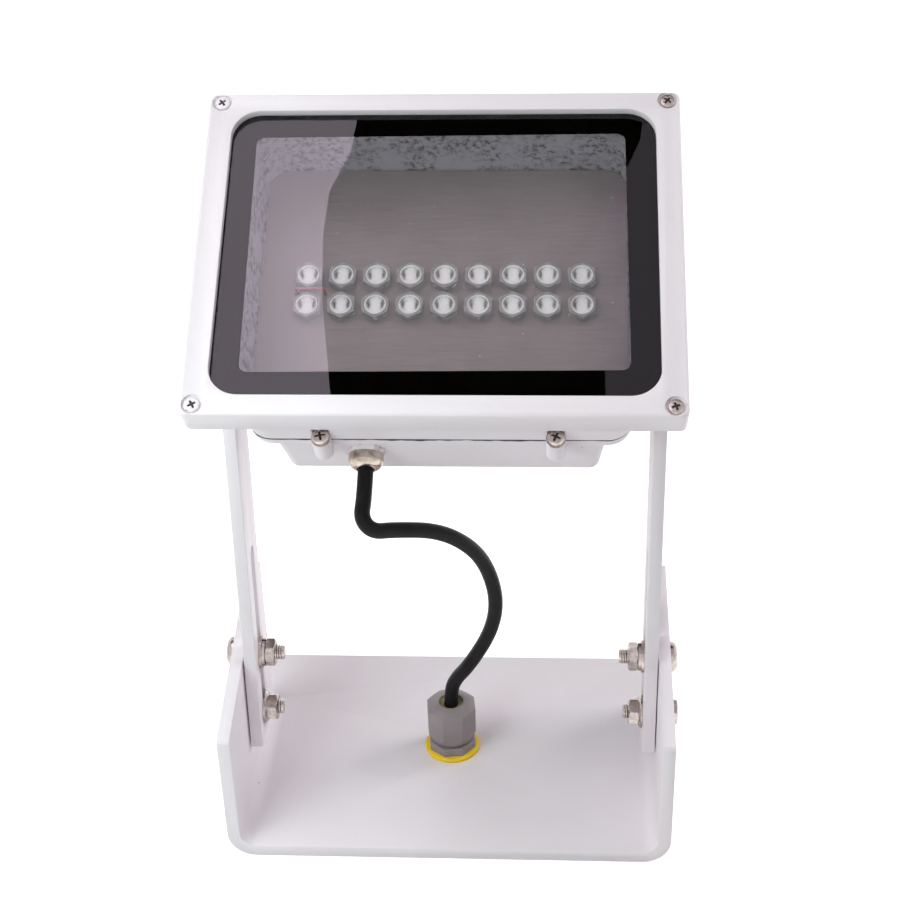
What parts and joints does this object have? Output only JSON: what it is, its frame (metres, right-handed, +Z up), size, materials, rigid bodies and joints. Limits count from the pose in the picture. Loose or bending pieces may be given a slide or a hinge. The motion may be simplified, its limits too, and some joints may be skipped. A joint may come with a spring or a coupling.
{
  "type": "led flood light",
  "caption": "Boxed LED flood light between slotted arms in a folded base bracket, with a tilting head and a cable from gland to gland.",
  "frame": {"origin": "middle of the base bracket's underside", "axes": "+Z up, -Y to the front, where the lamp's glass faces, +X to the right seen from the front"},
  "size_m": [0.2406, 0.1783, 0.3668],
  "materials": {
    "white_paint": "satin powder coat",
    "cast_paint": "satin paint on a casting",
    "zinc_steel": "zinc plated",
    "nickel": "nickel plated",
    "grey_plastic": "moulded",
    "yellow_plastic": "moulded",
    "seal_rubber": "soft",
    "black_rubber": "matt",
    "nylon": "plain",
    "glass": "clear",
    "black_print": "printed behind the glass",
    "bare_aluminium": "brushed",
    "clear_plastic": "clear",
    "emitter": "phosphor",
    "red_wire": "insulated",
    "driver_case": "moulded",
    "cable_black": "smooth sheath"
  },
  "bodies": {
    "base": {"base_bracket": "white_paint", "upper_ear_bolts": "zinc_steel", "lower_ear_bolts": "zinc_steel", "ear_flat_washers": "zinc_steel", "ear_spring_washers": "zinc_steel", "upper_ear_nuts": "zinc_steel", "lower_flange_nuts": "zinc_steel", "base_gland_washer": "yellow_plastic", "base_gland_body": "grey_plastic", "base_gland_nut": "grey_plastic", "base_gland_seal": "seal_rubber"},
    "arms": {"left_arm": "white_paint", "right_arm": "white_paint", "supply_cable": "cable_black"},
    "head": {"pivot_bolts": "zinc_steel", "pivot_friction_washers": "nylon", "front_bezel": "cast_paint", "bezel_screws": "zinc_steel", "glass_pane": "glass", "glass_border_print": "black_print", "glass_gasket": "black_rubber", "main_housing": "cast_paint", "rear_gasket": "black_rubber", "rear_cover": "cast_paint", "cover_screws": "zinc_steel", "cover_washers": "zinc_steel", "led_plate": "bare_aluminium", "led_plate_screws": "zinc_steel", "led_emitters": "emitter", "led_lenses": "clear_plastic", "led_link_wire": "red_wire", "led_driver": "driver_case", "driver_screws": "zinc_steel", "terminal_block": "driver_case", "led_lead": "cable_black", "supply_cores": "cable_black", "head_gland_body": "cast_paint", "head_gland_nut": "nickel", "head_gland_seal": "black_rubber", "head_gland_locknut": "nickel"}
  },
  "joints": [
    {"name": "arm_height", "type": "slide", "parent": "base", "child": "arms", "axis": [0, 0.0698, 0.9976], "range_m": [-0.018, 0.005], "deforming": ["supply_cable"]},
    {"name": "head_tilt", "type": "hinge", "parent": "arms", "child": "head", "pos_m": [0, -0.00179, 0.2933], "axis": [1, 0, 0], "range_deg": [-34.6, 50], "deforming": ["supply_cable"]}
  ]
}
